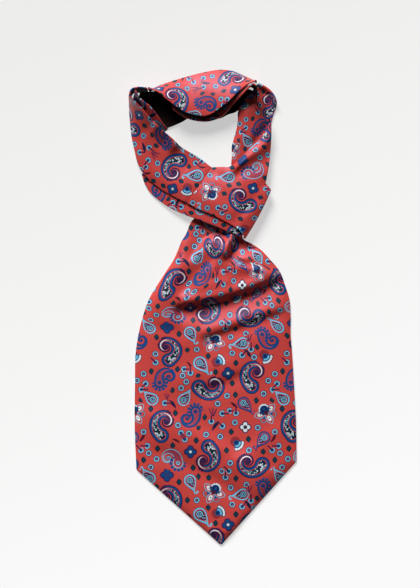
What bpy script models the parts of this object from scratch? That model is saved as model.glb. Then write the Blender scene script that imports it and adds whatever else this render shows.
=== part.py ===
"""A silk day cravat, tied once and laid flat on a table.

+Z is up. The neck loop lies towards +Y and the pointed blade towards -Y; the origin is on
the table under the middle of the cravat. Tables are in millimetres, meshes in metres.

Every piece of cloth is a wall lofted through a short table of sections. A section is a
line across the cloth, from its foot to its head, that swells upwards by its crown and bends
sideways in plan by its bow. Pieces that touch keep 0.3 mm or a little more between them.
The left end of the band crosses over the right end, goes round the right-hand side and
down behind as the rear blade; the right end comes out below the crossing as the gathered
front blade.
"""
import bmesh
import bpy
import numpy as np

MM = 0.001

# Driving sizes, in millimetres.
CLOTH = 1.6            # wall: silk, thin interlining, silk
BLADE_WIDTH = 153.7    # front blade at its two corners
BLADE_LIFT = 3.4       # rise of the front blade over the rear one that it covers
REAR_INSET = 9.0       # how far the hidden rear blade lies inside the front blade
EDGE_Z = 1.7           # upper side of cloth that rests on the table
CORNER_LEFT = (-73.0, -156.0)
CORNER_RIGHT = (CORNER_LEFT[0] + BLADE_WIDTH, -148.0)
TIP_LEFT, TIP_RIGHT = (7.0, -227.6), (9.2, -227.6)
REAR_TIP_Y = -206.0

# Columns of every table of sections, in millimetres.
COLUMNS = ("foot_x", "foot_y", "foot_z", "head_x", "head_y", "head_z", "crown", "bow")
COLUMN = {name: place for place, name in enumerate(COLUMNS)}
FOOT_X, HEAD_X = COLUMN["foot_x"], COLUMN["head_x"]
FOOT_Y, HEAD_Y = COLUMN["foot_y"], COLUMN["head_y"]
FOOT_Z, HEAD_Z = COLUMN["foot_z"], COLUMN["head_z"]
CROWN, BOW = COLUMN["crown"], COLUMN["bow"]
FOOT, HEAD = slice(FOOT_X, FOOT_Z + 1), slice(HEAD_X, HEAD_Z + 1)

# Left side of the neckband: flat at the crossing, stood on its edge at the far corner.
NECKBAND_LEFT = (
    (-24.5, 99.5, 8.5, -0.5, 134.0, 6.5, 2.3, 0.0),
    (-39.0, 106.5, 6.8, -10.0, 141.0, 6.5, 1.8, 2.0),
    (-54.0, 116.0, 5.0, -20.5, 147.5, 7.5, 1.0, 4.0),
    (-64.0, 125.0, 4.2, -30.0, 153.0, 8.5, 0.6, 5.5),
    (-71.0, 135.5, 3.6, -38.0, 160.5, 10.0, 0.7, 5.0),
    (-75.0, 150.0, 2.6, -48.0, 168.5, 13.0, 0.8, 3.5),
    (-78.0, 164.0, 2.0, -58.0, 178.0, 18.0, 0.8, 2.0),
    (-79.5, 178.5, 1.6, -67.5, 188.5, 21.5, 0.6, 1.3),
    (-80.3, 191.0, 0.8, -75.0, 195.5, 23.5, -0.3, 1.3),
    (-79.8, 200.5, 0.6, -79.3, 201.5, 24.5, 0.0, 0.6),
    (-76.7, 205.8, 0.6, -77.5, 207.0, 24.0, -0.5, 0.0),
    (-70.0, 206.8, 0.6, -71.7, 209.4, 21.5, -0.5, 0.0),
    (-61.5, 207.3, 0.6, -61.9, 209.0, 19.5, 0.0, 0.0),
)

# Second ply of the same band, showing inside the loop above the first.
LEFT_INNER_PLY = (
    (-53.3, 162.2, 7.9, -42.2, 170.0, 8.5, 0.0, -0.3),
    (-59.5, 168.5, 5.5, -46.4, 174.0, 13.5, 0.2, 0.7),
    (-66.2, 177.0, 3.2, -52.6, 182.2, 18.5, 0.6, 1.4),
    (-71.5, 186.7, 3.0, -59.5, 190.3, 22.5, 0.6, 1.3),
    (-74.6, 193.4, 2.6, -66.7, 196.5, 25.0, 0.0, 1.4),
    (-75.2, 198.5, 2.4, -71.3, 201.1, 26.5, -0.3, 1.2),
    (-73.4, 202.0, 2.2, -73.0, 205.4, 26.5, -0.6, 0.7),
)

# Under ply of the band, a strip showing outside its lower edge up to the join.
LEFT_OUTER_PLY = (
    (-68.0, 127.7, 1.7, -64.8, 129.3, 1.7, 0.0, 0.0),
    (-65.0, 118.0, 1.7, -57.0, 124.0, 2.0, 0.0, 0.0),
    (-60.5, 110.4, 1.8, -50.4, 119.0, 2.8, 0.1, 0.2),
    (-49.6, 100.8, 2.6, -41.3, 113.3, 4.4, 0.1, 0.1),
    (-38.4, 93.6, 4.0, -30.7, 107.0, 5.6, 0.1, 0.0),
    (-26.8, 88.3, 5.6, -22.5, 101.5, 6.4, 0.2, 0.1),
)

# Back of the neckband: its outer edge on the table, its inner edge raised towards the neck.
NECKBAND_BACK = (
    (-60.9, 207.3, 0.6, -61.3, 209.0, 19.5, 0.0, 0.0),
    (-55.2, 211.0, 1.2, -52.8, 206.1, 21.0, 1.0, 0.0),
    (-46.6, 214.4, 1.6, -42.7, 197.8, 20.5, 3.0, 1.0),
    (-35.0, 218.2, 1.8, -29.3, 187.2, 18.0, 4.0, 1.7),
    (-21.6, 222.0, 1.8, -15.8, 183.0, 15.0, 3.7, 0.5),
    (-8.2, 225.3, 1.8, -5.3, 182.5, 14.0, 3.8, 0.6),
    (5.3, 227.7, 1.8, 4.8, 188.0, 15.0, 3.6, 0.0),
    (18.7, 226.8, 1.8, 15.8, 196.5, 18.0, 4.0, 0.0),
    (29.3, 222.5, 1.8, 26.4, 206.9, 20.5, 2.9, -0.5),
    (37.4, 218.7, 1.4, 35.6, 213.8, 21.5, 1.1, -0.4),
    (42.9, 216.0, 0.8, 41.7, 215.8, 21.5, 0.3, 0.0),
)

# Its second ply, which arches over at the right and comes down on the right-hand side.
BACK_PLY = (
    (-40.8, 203.5, 4.8, -37.0, 188.4, 16.0, 1.2, 0.0),
    (-30.2, 202.6, 4.8, -24.5, 180.5, 12.0, 1.1, 0.0),
    (-18.7, 200.6, 4.8, -13.0, 177.6, 9.5, 0.5, 0.0),
    (-6.2, 200.6, 4.8, -2.4, 177.8, 9.0, 0.5, 0.0),
    (5.3, 203.5, 4.8, 9.0, 182.1, 10.5, 0.8, 0.0),
    (15.8, 207.4, 4.8, 18.7, 193.0, 14.0, 1.3, 0.0),
    (26.0, 211.7, 4.8, 27.7, 202.6, 19.0, 0.3, 0.0),
    (32.7, 212.2, 4.5, 33.9, 208.8, 23.0, 0.2, 0.0),
    (38.4, 211.4, 4.5, 38.5, 212.5, 25.5, 0.0, 0.0),
    (41.8, 207.8, 6.0, 42.7, 209.5, 25.0, 0.0, 0.0),
    (43.3, 201.1, 9.4, 44.2, 202.6, 22.0, 0.0, 0.0),
    (43.0, 194.4, 9.4, 43.7, 195.8, 18.0, 0.0, 0.0),
)

# Right side of the neckband, which runs down under the crossing.
NECKBAND_RIGHT = (
    (45.0, 214.6, 1.8, 40.5, 211.0, 4.0, 0.8, 0.0),
    (50.9, 211.4, 1.7, 36.5, 205.0, 4.0, 2.0, 0.5),
    (57.0, 206.2, 1.7, 31.2, 199.7, 4.2, 4.6, 1.0),
    (61.2, 198.7, 1.7, 27.2, 194.0, 4.4, 5.8, 1.0),
    (61.2, 191.5, 1.7, 24.3, 186.7, 4.4, 5.6, 0.5),
    (58.4, 183.8, 1.7, 24.2, 179.5, 4.4, 4.6, 0.3),
    (55.7, 173.8, 1.7, 23.1, 171.4, 4.2, 4.0, 0.2),
    (51.8, 164.2, 2.2, 20.8, 162.7, 4.0, 3.4, 0.3),
    (47.0, 154.6, 2.6, 18.5, 154.0, 3.8, 2.4, 1.2),
    (45.0, 144.0, 2.8, 18.5, 144.5, 3.6, 1.8, 1.2),
    (44.2, 134.4, 2.8, 18.0, 135.6, 3.4, 1.6, 1.5),
    (42.7, 126.4, 2.8, 20.2, 127.3, 3.4, 1.4, 0.0),
)

# Dark inner face of the band, low inside the loop and up the far left corner.
NECKBAND_LINING = (
    (-53.3, 171.8, 1.9, -44.2, 171.3, 1.9, 0.0, 0.0),
    (-62.0, 181.4, 1.9, -40.3, 172.8, 1.9, 0.0, 0.0),
    (-68.0, 193.0, 3.0, -36.0, 174.5, 1.9, -0.5, 0.0),
    (-70.5, 200.5, 8.0, -31.7, 176.4, 1.9, -1.5, 0.0),
    (-68.5, 204.4, 14.0, -28.3, 178.0, 1.9, -3.0, 0.0),
    (-62.5, 204.4, 10.0, -24.5, 180.5, 1.9, -2.5, 0.0),
    (-53.3, 201.6, 4.0, -19.7, 182.4, 1.9, -0.5, 0.0),
    (-38.9, 201.6, 1.9, -12.0, 183.4, 1.9, 0.0, 0.0),
    (-12.0, 201.6, 1.9, -2.4, 183.4, 1.9, 0.0, 0.0),
    (9.0, 204.5, 1.9, 7.2, 181.0, 1.9, 0.0, 0.0),
    (22.6, 208.3, 1.9, 15.8, 185.0, 1.9, 0.0, 0.0),
    (30.2, 209.3, 1.9, 22.0, 187.0, 1.9, 0.0, 0.0),
    (36.0, 208.8, 1.9, 29.3, 193.0, 1.9, 0.0, 0.0),
    (38.9, 207.4, 1.9, 35.0, 200.6, 1.9, 0.0, 0.0),
)

# The crossing: the left end of the band laid over the right end, down to its right fold.
CROSSING = (
    (-24.2, 99.3, 8.5, -0.2, 133.8, 6.5, 2.3, 0.0),
    (-14.0, 94.0, 10.0, 7.7, 134.2, 7.0, 2.8, -0.2),
    (-1.4, 88.8, 11.6, 16.4, 134.4, 7.8, 2.4, 0.5),
    (10.0, 83.0, 12.5, 25.0, 141.0, 9.6, 1.3, -0.2),
    (19.7, 77.8, 12.7, 36.8, 152.6, 9.6, 1.0, -1.7),
    (26.4, 73.0, 12.2, 45.4, 160.7, 9.0, 0.8, -4.0),
    (29.8, 68.2, 10.8, 51.8, 170.0, 8.6, 0.7, -6.5),
    (31.1, 65.0, 7.8, 56.0, 181.0, 7.8, 0.0, -8.0),
    (30.6, 65.4, 5.4, 54.8, 178.2, 6.4, -1.0, -7.5),
)

# Under ply of the crossing, a strip showing below its lower edge from the join onwards.
CROSSING_PLY = (
    (-26.4, 88.1, 5.6, -22.1, 101.4, 6.4, 0.2, 0.1),
    (-15.0, 84.0, 7.0, -9.0, 98.0, 8.0, 0.4, 0.1),
    (-2.4, 79.3, 8.8, 2.4, 92.6, 9.6, 0.4, 0.1),
    (11.0, 73.7, 9.8, 15.0, 87.0, 10.6, 0.5, 0.1),
    (22.6, 68.2, 9.2, 24.5, 79.5, 9.9, 0.4, 0.2),
    (28.4, 65.3, 7.0, 27.6, 74.0, 8.4, 0.2, 0.1),
)

# Front blade from the hidden throat to its two corners; foot is its left edge.
BLADE = (
    (20.0, 126.0, 3.4, 42.5, 125.1, 2.8, 1.4, 0.0),
    (9.1, 107.5, 2.6, 41.8, 108.5, 2.6, 4.0, 0.0),
    (-5.3, 94.0, 2.0, 38.0, 93.0, 2.2, 5.6, 0.0),
    (-20.6, 81.6, 1.8, 31.0, 76.8, 1.9, 5.4, 0.0),
    (-25.0, 71.0, EDGE_Z, 29.3, 65.8, EDGE_Z, 5.6, 0.0),
    (-29.8, 62.9, EDGE_Z, 38.0, 60.5, EDGE_Z, 6.6, 0.0),
    (-33.1, 54.7, EDGE_Z, 46.6, 54.7, EDGE_Z, 7.6, 0.0),
    (-37.0, 46.0, EDGE_Z, 55.2, 45.6, EDGE_Z, 8.0, 0.0),
    (-44.2, 34.6, EDGE_Z, 64.3, 34.6, EDGE_Z, 7.2, 0.0),
    (-53.3, 20.6, EDGE_Z, 69.6, 21.0, EDGE_Z, 6.4, 0.0),
    (-61.4, 6.7, EDGE_Z, 74.0, 6.7, EDGE_Z, 5.8, 0.0),
    (-66.7, -8.6, EDGE_Z, 75.0, -8.6, EDGE_Z, 5.0, 0.0),
    (-71.0, -26.0, EDGE_Z, 75.0, -26.0, EDGE_Z, 4.4, 0.0),
    (-73.6, -43.0, EDGE_Z, 76.3, -43.0, EDGE_Z, 3.8, 0.0),
    (-74.4, -75.0, EDGE_Z, 78.2, -75.0, EDGE_Z, BLADE_LIFT, 0.0),
    (-74.6, -118.0, EDGE_Z, 80.2, -113.0, EDGE_Z, BLADE_LIFT, 0.0),
    (*CORNER_LEFT, EDGE_Z, *CORNER_RIGHT, EDGE_Z, BLADE_LIFT, 0.0),
)

# The point of the blade, with straight edges from the corners to the tip.
POINT = (
    (*CORNER_LEFT, EDGE_Z, *CORNER_RIGHT, EDGE_Z, BLADE_LIFT, 0.0),
    (*TIP_LEFT, EDGE_Z, *TIP_RIGHT, EDGE_Z, BLADE_LIFT, 0.0),
)

# Folds of the front blade: a ridge or, when its height is negative, a trough along a line.
# Columns: start_x, start_y, end_x, end_y, height, half_width.
BLADE_FOLDS = (
    (17.0, 64.0, 15.8, 54.7, 2.8, 7.0),
    (32.0, 60.0, 15.8, 44.0, -2.6, 4.5),
    (-6.5, 70.0, -19.7, 43.2, -1.6, 5.0),
    (-29.3, 4.0, 25.4, 24.0, 2.4, 6.0),
    (-27.4, -2.0, 60.0, 20.5, -2.4, 6.0),
    (2.4, -24.0, 29.3, -19.2, -1.2, 6.0),
)

# Swell of the front blade: round at the narrow throat, flat-topped at its full width.
ROUND, FLAT_TOP, TIP_TOP = 2.0, 8.0, 4.0
THROAT_WIDTH = 60.0
TIP_FADE = 6.0         # the swell dies away over the last sixth of the point
EDGE_BIAS = 0.35       # share of the grid's spacing that crowds towards the edges

# The diagonal roll along the crossing's upper edge and the trough below it: their places
# across the section, and where along the lower edge they begin and reach full height.
ROLL_AT, ROLL_WIDTH, ROLL_HEIGHT = 0.89, 0.07, 3.0
TROUGH_AT, TROUGH_WIDTH, TROUGH_DEPTH = 0.72, 0.10, 1.8
ROLL_FROM_X, ROLL_FULL_X = 2.0, 12.0
ROLL_NONE_Z, ROLL_FULL_Z = 4.0, 10.0
# The corner on the crossing's right fold: it stands out and breaks back at once.
CORNER_AT, CORNER_END, CORNER_OUT = 0.42, 0.475, 7.0
CORNER_FROM_X, CORNER_FULL_X = 24.5, 31.1
CROSSING_ACROSS = np.array((0, 0.07, 0.14, 0.21, 0.28, 0.35, CORNER_AT, CORNER_END, 0.54,
                            0.61, 0.67, 0.73, 0.79, 0.84, ROLL_AT, 0.94, 1.0))


def smooth_rows(rows, count):
    """Catmull-Rom through the rows, spaced by the mean distance between their ends."""
    table = np.array(rows, dtype=float)
    feet = np.linalg.norm(np.diff(table[:, FOOT], axis=0), axis=1)
    heads = np.linalg.norm(np.diff(table[:, HEAD], axis=0), axis=1)
    knots = np.concatenate(([0.0], np.cumsum(0.5 * (feet + heads))))
    slopes = np.gradient(table, knots, axis=0)
    at = np.linspace(0.0, knots[-1], count)
    k = np.clip(np.searchsorted(knots, at, side="right") - 1, 0, len(knots) - 2)
    span = (knots[k + 1] - knots[k])[:, None]
    t = (at - knots[k])[:, None] / span
    return (
        (2 * t**3 - 3 * t**2 + 1) * table[k]
        + (t**3 - 2 * t**2 + t) * span * slopes[k]
        + (3 * t**2 - 2 * t**3) * table[k + 1]
        + (t**3 - t**2) * span * slopes[k + 1]
    )


def straight_rows(rows, count):
    """The rows between the first and the last on straight lines, without the first."""
    first, last = np.array(rows[0], dtype=float), np.array(rows[-1], dtype=float)
    share = np.linspace(0.0, 1.0, count + 1)[1:, None]
    return first * (1 - share) + last * share


def section_points(rows, across, squareness=2.0):
    """Points of the lofted cloth: rows x across x 3, in millimetres.

    The swell is 1 - |2a - 1| ** squareness, a parabola at 2 and a flat top above it. The
    crown is laid off square to the section, the bow level and square to it.
    """
    foot, head = rows[:, None, FOOT], rows[:, None, HEAD]
    a = across[None, :, None]
    line = foot + (head - foot) * a
    chord = head - foot
    level = np.maximum(np.linalg.norm(chord[..., :2], axis=-1, keepdims=True), 1e-6)
    length = np.linalg.norm(chord, axis=-1, keepdims=True)
    heading = chord[..., :2] / level
    up = np.concatenate((-heading * chord[..., 2:] / length, level / length), axis=-1)
    side = np.concatenate((-heading[..., 1:], heading[..., :1], 0 * level), axis=-1)
    power = np.broadcast_to(np.asarray(squareness, dtype=float), len(rows))[:, None, None]
    swell = 1.0 - np.abs(2 * a - 1) ** power
    parabola = 1.0 - (2 * a - 1) ** 2
    crown, bow = rows[:, None, CROWN, None], rows[:, None, BOW, None]
    return line + up * crown * swell + side * bow * parabola


def bell(distance, half_width):
    """Bell curve of height 1."""
    return np.exp(-((distance / half_width) ** 2))


def ramp(x, start, end):
    """0 up to start, 1 from end on, straight between them."""
    return np.clip((x - start) / (end - start), 0.0, 1.0)


def fold_heights(points, folds):
    """Sum of the folds at each point: a bell across each line, rounded at its ends."""
    height = np.zeros(points.shape[:-1])
    for start_x, start_y, end_x, end_y, fold_height, half_width in folds:
        start, along = np.array((start_x, start_y)), np.array((end_x - start_x, end_y - start_y))
        offset = points[..., :2] - start
        share = np.clip(offset @ along / (along @ along), 0.0, 1.0)
        distance = np.linalg.norm(offset - share[..., None] * along, axis=-1)
        height += fold_height * bell(distance, half_width)
    return height


def silk(name, colour, roughness):
    """Silk twill: a satin-soft dielectric with a little sheen."""
    material = bpy.data.materials.new(name)
    material.use_nodes = True
    shader = material.node_tree.nodes["Principled BSDF"]
    shader.inputs["Base Color"].default_value = (*colour, 1.0)
    shader.inputs["Roughness"].default_value = roughness
    shader.inputs["Metallic"].default_value = 0.0
    shader.inputs["Sheen Weight"].default_value = 0.3
    return material


def cloth_wall(name, points, material, collection, wall=CLOTH):
    """A named wall of cloth whose upper side is the grid of points.

    Anything that would sink into the table is pressed level with it.
    """
    along, across = points.shape[:2]
    bm = bmesh.new()
    bmesh.ops.create_grid(bm, x_segments=across - 1, y_segments=along - 1, size=0.5)
    bm.verts.ensure_lookup_table()
    for vert, point in zip(bm.verts, points.reshape(-1, 3)):
        vert.co = point * MM
    bm.normal_update()
    if sum(face.normal.z * face.calc_area() for face in bm.faces) < 0:
        bmesh.ops.reverse_faces(bm, faces=bm.faces)
    sheet = bpy.data.meshes.new(name + "_sheet")
    bm.to_mesh(sheet)
    bm.free()
    guide = bpy.data.objects.new(name + "_sheet", sheet)
    collection.objects.link(guide)
    solidify = guide.modifiers.new("wall", "SOLIDIFY")
    solidify.thickness = wall * MM
    solidify.offset = -1.0
    solidify.use_even_offset = True
    solidify.thickness_clamp = 1.0
    bpy.context.view_layer.update()
    depsgraph = bpy.context.evaluated_depsgraph_get()
    mesh = bpy.data.meshes.new_from_object(guide.evaluated_get(depsgraph))
    bpy.data.objects.remove(guide)
    bpy.data.meshes.remove(sheet)
    for vertex in mesh.vertices:
        vertex.co.z = max(vertex.co.z, 0.0)
    mesh.name = name
    mesh.materials.clear()
    mesh.materials.append(material)
    mesh.shade_smooth()
    piece = bpy.data.objects.new(name, mesh)
    collection.objects.link(piece)
    return piece


def band_points(rows, stations, cells):
    """A stretch of band: smooth along its length, a parabola across."""
    return section_points(smooth_rows(rows, stations), np.linspace(0.0, 1.0, cells + 1))


def crossing_points(stations):
    """The crossing, with the roll and trough along its upper edge and its right corner."""
    across = CROSSING_ACROSS
    rows = smooth_rows(CROSSING, stations)
    points = section_points(rows, across)
    begins = ramp(rows[:, FOOT_X], ROLL_FROM_X, ROLL_FULL_X)
    ends = ramp(rows[:, FOOT_Z], ROLL_NONE_Z, ROLL_FULL_Z)
    roll = ROLL_HEIGHT * bell(across - ROLL_AT, ROLL_WIDTH)
    trough = TROUGH_DEPTH * bell(across - TROUGH_AT, TROUGH_WIDTH)
    points[..., 2] += (begins * ends)[:, None] * (roll - trough)
    corner = np.interp(across, (0.0, CORNER_AT, CORNER_END, 1.0), (0.0, 1.0, 0.0, 0.0))
    stands_out = CORNER_OUT * ramp(rows[:, FOOT_X], CORNER_FROM_X, CORNER_FULL_X) ** 2
    points[..., 0] += stands_out[:, None] * corner
    return points


def blade_points(body_rows, point_rows, cells):
    """The front blade: gathered at the throat, flat and square-edged lower down."""
    rows = np.concatenate((smooth_rows(BLADE, body_rows), straight_rows(POINT, point_rows)))
    width = rows[:, HEAD_X] - rows[:, FOOT_X]
    squareness = ROUND + (FLAT_TOP - ROUND) * ramp(width, THROAT_WIDTH, BLADE_WIDTH)
    squareness[body_rows:] = np.linspace(FLAT_TOP, TIP_TOP, point_rows)
    to_tip = np.linspace(1.0, 0.0, point_rows)
    rows[body_rows:, CROWN] *= np.minimum(1.0, TIP_FADE * to_tip)
    even = np.linspace(0.0, 1.0, cells + 1)
    across = (1 - EDGE_BIAS) * even + EDGE_BIAS * (0.5 - 0.5 * np.cos(np.pi * even))
    points = section_points(rows, across, squareness)
    inside = 1.0 - np.abs(2 * across - 1) ** 6
    points[..., 2] += fold_heights(points, BLADE_FOLDS) * inside
    return points


def rear_blade_points(cells):
    """The hidden rear blade: flat, set inside the front blade, more so where that is gathered."""
    body = smooth_rows(BLADE[2:], 14)
    inset = REAR_INSET + body[:, CROWN] - BLADE_LIFT
    body[:, FOOT_X] += inset
    body[:, HEAD_X] -= inset
    tip = body[-1].copy()
    tip[[FOOT_X, HEAD_X]] = TIP_LEFT[0], TIP_RIGHT[0]
    tip[[FOOT_Y, HEAD_Y]] = REAR_TIP_Y
    rows = np.concatenate((body, straight_rows((body[-1], tip), 3)))
    rows[:, [FOOT_Z, HEAD_Z]] = CLOTH
    rows[:, [CROWN, BOW]] = 0.0
    return section_points(rows, np.linspace(0.0, 1.0, cells + 1))


def main():
    for item in list(bpy.data.objects):
        bpy.data.objects.remove(item)
    cravat = bpy.data.collections.new("silk_cravat")
    bpy.context.scene.collection.children.link(cravat)
    printed = silk("printed_silk", (0.62, 0.07, 0.07), 0.45)
    dark = silk("dark_lining", (0.03, 0.015, 0.01), 0.7)

    cloth_wall("neckband_left", band_points(NECKBAND_LEFT, 33, 8), printed, cravat)
    cloth_wall("neckband_left_inner_ply", band_points(LEFT_INNER_PLY, 16, 4), printed, cravat)
    cloth_wall("neckband_left_outer_ply", band_points(LEFT_OUTER_PLY, 13, 3), printed, cravat)
    cloth_wall("neckband_back", band_points(NECKBAND_BACK, 25, 7), printed, cravat)
    cloth_wall("neckband_back_ply", band_points(BACK_PLY, 28, 4), printed, cravat)
    cloth_wall("neckband_right", band_points(NECKBAND_RIGHT, 22, 8), printed, cravat)
    cloth_wall("neckband_lining", band_points(NECKBAND_LINING, 25, 5), dark, cravat)
    cloth_wall("crossing", crossing_points(24), printed, cravat)
    cloth_wall("crossing_ply", band_points(CROSSING_PLY, 13, 3), printed, cravat)
    cloth_wall("blade_front", blade_points(44, 14, 22), printed, cravat)
    cloth_wall("blade_rear", rear_blade_points(6), printed, cravat)


main()
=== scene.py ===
"""A silk day cravat, tied once and laid flat: how its cloth looks.

+Z is up, the neck loop lies towards +Y and the pointed blade towards -Y. Lengths are in
millimetres until a mesh is made, in metres, and colours are linear.
"""

import bmesh
import bpy
import numpy as np
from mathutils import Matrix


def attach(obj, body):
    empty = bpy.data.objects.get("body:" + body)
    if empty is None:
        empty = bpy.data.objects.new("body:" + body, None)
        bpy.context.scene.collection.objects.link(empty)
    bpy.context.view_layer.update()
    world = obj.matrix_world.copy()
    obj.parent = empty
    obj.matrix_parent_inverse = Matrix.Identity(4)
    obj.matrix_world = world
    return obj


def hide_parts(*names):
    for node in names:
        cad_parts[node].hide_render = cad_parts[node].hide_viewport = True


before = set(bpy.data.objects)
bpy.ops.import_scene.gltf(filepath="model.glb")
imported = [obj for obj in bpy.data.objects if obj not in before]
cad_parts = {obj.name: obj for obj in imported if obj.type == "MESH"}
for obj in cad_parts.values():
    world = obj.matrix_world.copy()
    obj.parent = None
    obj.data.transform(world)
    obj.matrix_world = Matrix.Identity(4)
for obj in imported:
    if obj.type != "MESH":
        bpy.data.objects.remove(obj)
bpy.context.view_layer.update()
MM = 0.001

# ------
# The silk. A fine twill dyed coral red and printed with curled paisleys, flowers and small
# filler rings in blue, cyan, white and navy. The print is one repeat of 126 by 145 mm, and
# every piece of the cravat is cut from the same length, each at its own angle.
REPEAT = np.array((125.8, 145))
CORAL = (0.63, 0.062, 0.05)
BLUE = (0.001, 0.066, 0.24)
CYAN = (0.17, 0.58, 0.82)
WHITE = (0.74, 0.82, 0.86)
TEAL = (0.001, 0.03, 0.036)
NAVY = (0.002, 0.01, 0.05)
WINE = (0.085, 0.006, 0.02)
PLUM = (0.045, 0.012, 0.075)
MINT = (0.2, 0.52, 0.58)
PALE = (0.23, 0.55, 0.74)
ROSE = (0.42, 0.16, 0.3)
INK_EDGE = 0.25        # the ink bleeds this far, in millimetres
TWILL_PITCH = 0.9      # millimetres from rib to rib
TWILL_DEPTH = 0.1


def add_node(tree, kind, inputs, **settings):
    """A new node of a material, its inputs linked to sockets or set to values."""
    node = tree.nodes.new("ShaderNode" + kind)
    for name, value in settings.items():
        setattr(node, name, value)
    set_inputs(node, inputs)
    return node


def set_inputs(node, inputs):
    """Set a node's own sockets to values, or link other nodes' sockets to them."""
    for name, value in inputs.items():
        if isinstance(value, bpy.types.NodeSocket):
            node.id_data.links.new(value, node.inputs[name])
        else:
            node.inputs[name].default_value = value


def arithmetic(operation):
    """What a sign does to fields: the material's operation of that name."""
    return lambda field, *others: field.calc(operation, *others)


class Field:
    """A number that varies over the cloth: a socket of a material, with arithmetic on it.

    Of two distances | gives the nearer, which is both shapes together, and & the further,
    which is where they overlap.
    """

    def __init__(self, tree, socket):
        self.tree, self.socket = tree, socket

    def calc(self, operation, *others):
        terms = [term.socket if isinstance(term, Field) else term for term in (self, *others)]
        node = add_node(self.tree, "Math", dict(enumerate(terms)), operation=operation)
        return Field(self.tree, node.outputs[0])

    __add__, __sub__, __mul__, __truediv__, __pow__ = map(
        arithmetic, ("ADD", "SUBTRACT", "MULTIPLY", "DIVIDE", "POWER"))
    __or__, __and__, __abs__ = map(arithmetic, ("MINIMUM", "MAXIMUM", "ABSOLUTE"))

    def __neg__(self):
        return self * -1

    def __rsub__(self, other):
        return -self + other

    def clamp(self):
        return self.calc("MINIMUM", 1).calc("MAXIMUM", 0)


def blend(tree, share, first, second):
    """The socket of a mix of two inks, each a colour or another layer's socket."""
    inks = [(*ink, 1) if isinstance(ink, tuple) else ink for ink in (first, second)]
    mix = add_node(tree, "Mix", {0: share.socket, 6: inks[0], 7: inks[1]}, data_type="RGBA")
    return mix.outputs[2]


def far(across, up):
    """How far it is across and up together."""
    return (across * across + up * up) ** 0.5


def polar(radius, degrees):
    """The point at a distance from the middle, so many degrees round from +x."""
    return radius * np.cos(np.radians(degrees)), radius * np.sin(np.radians(degrees))


def turned(across, up, degrees):
    """Coordinates along axes turned by so many degrees."""
    cos, sin = polar(1, degrees)
    return across * cos + up * sin, up * cos - across * sin


class Motif:
    """One motif being printed: its own flat millimetres x and y, and the colour so far.

    Shapes are distances in millimetres, negative inside, painted one over the other.
    """

    def __init__(self, tree):
        self.tree = tree
        self.place = add_node(tree, "UVMap", {}, uv_map="motif").outputs[0]
        split = add_node(tree, "SeparateXYZ", {0: self.place})
        self.x, self.y = Field(tree, split.outputs[0]), Field(tree, split.outputs[1])
        self.ground = self.colour = None

    def distance(self, x=0, y=0):
        """How far the cloth is from a point."""
        return far(self.x - x, self.y - y)

    def circle(self, x, y, radius):
        return self.distance(x, y) - radius

    def oval(self, x, y, half_width, half_height, turn=0):
        """An ellipse, its distance true near its rim along the shorter radius."""
        across, up = self.turned(turn, x, y)
        return (far(across / half_width, up / half_height) - 1) * min(half_width, half_height)

    def almond(self, x, y, turn, length, half_width):
        """A pointed petal from a root, along +y turned: the overlap of two equal circles."""
        across, up = self.turned(turn, x, y)
        radius = (length**2 / 4 + half_width**2) / (2 * half_width)
        up = up - length / 2
        shift = radius - half_width
        return (far(across + shift, up) & far(across - shift, up)) - radius

    def turned(self, degrees, x=0, y=0):
        """Coordinates from a point, along turned axes."""
        return turned(self.x - x, self.y - y, degrees)

    def paint(self, distance, ink, share=1):
        """Ink, a colour or another layer's socket, laid inside a shape."""
        mask = (distance / -INK_EDGE + 0.5).clamp() * share
        self.colour = blend(self.tree, mask, self.colour, ink)

    def layers(self, shape, *insets):
        """One shape painted again and again: how far in, the ink, and its share if any."""
        for inset, *ink in insets:
            self.paint(shape + inset, *ink)

    def discs(self, x, y, *rounds):
        """Round spots painted about one point, each a radius and its ink."""
        for radius, ink in rounds:
            self.paint(self.circle(x, y, radius), ink)

    def chips(self, size):
        """A mosaic: cell colours in white, cyan, teal and navy, and the distance to a gap."""
        scaled = add_node(self.tree, "VectorMath", {0: self.place, "Scale": 1 / size},
                          operation="SCALE")
        cells = {"Vector": scaled.outputs[0], "Scale": 1, "Randomness": 0.8}
        colour, gap = [
            add_node(self.tree, "TexVoronoi", cells, voronoi_dimensions="2D", feature=feature)
            .outputs[output]
            for feature, output in (("F1", "Color"), ("DISTANCE_TO_EDGE", "Distance"))
        ]
        ramp = add_node(self.tree, "ValToRGB", {0: colour})
        ramp.color_ramp.interpolation = "CONSTANT"
        stops = ramp.color_ramp.elements
        for place, ink in ((0, WHITE), (0.36, MINT), (0.58, TEAL), (0.78, NAVY)):
            stop = stops[0] if place == 0 else stops.new(place)
            stop.color = (*ink, 1)
        stops.remove(stops[len(stops) - 1])
        return ramp.outputs[0], Field(self.tree, gap) * size

    def spiral(self, end_angle, end_radius, growth, thin, swell, share):
        """A curled band that widens towards a round end.

        Its middle follows a logarithmic spiral, radius = end radius * e ** (growth * turns),
        with turns counted back from its end. Its half width is thin * that radius, and
        swells by swell * radius over the last share of a turn; a circle closes it. Gives
        the shape, the turns along it, how far outside its middle, and the middle's radius.
        """
        radius = self.distance() + 0.001
        angle = self.y.calc("ARCTAN2", self.x) / (2 * np.pi) - end_angle / 360
        turns = (radius / end_radius).calc("LOGARITHM", np.e) / growth
        along = angle + (turns - angle).calc("ROUND")
        middle = (along * growth).calc("EXPONENT") * end_radius
        outside = radius - middle
        fat = (along / share + 1).clamp() * swell + thin
        band = (abs(outside) - fat * middle) & (along * 100)
        cap = self.circle(*polar(end_radius, end_angle), (thin + swell) * end_radius)
        return band | cap, along, outside, middle


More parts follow.
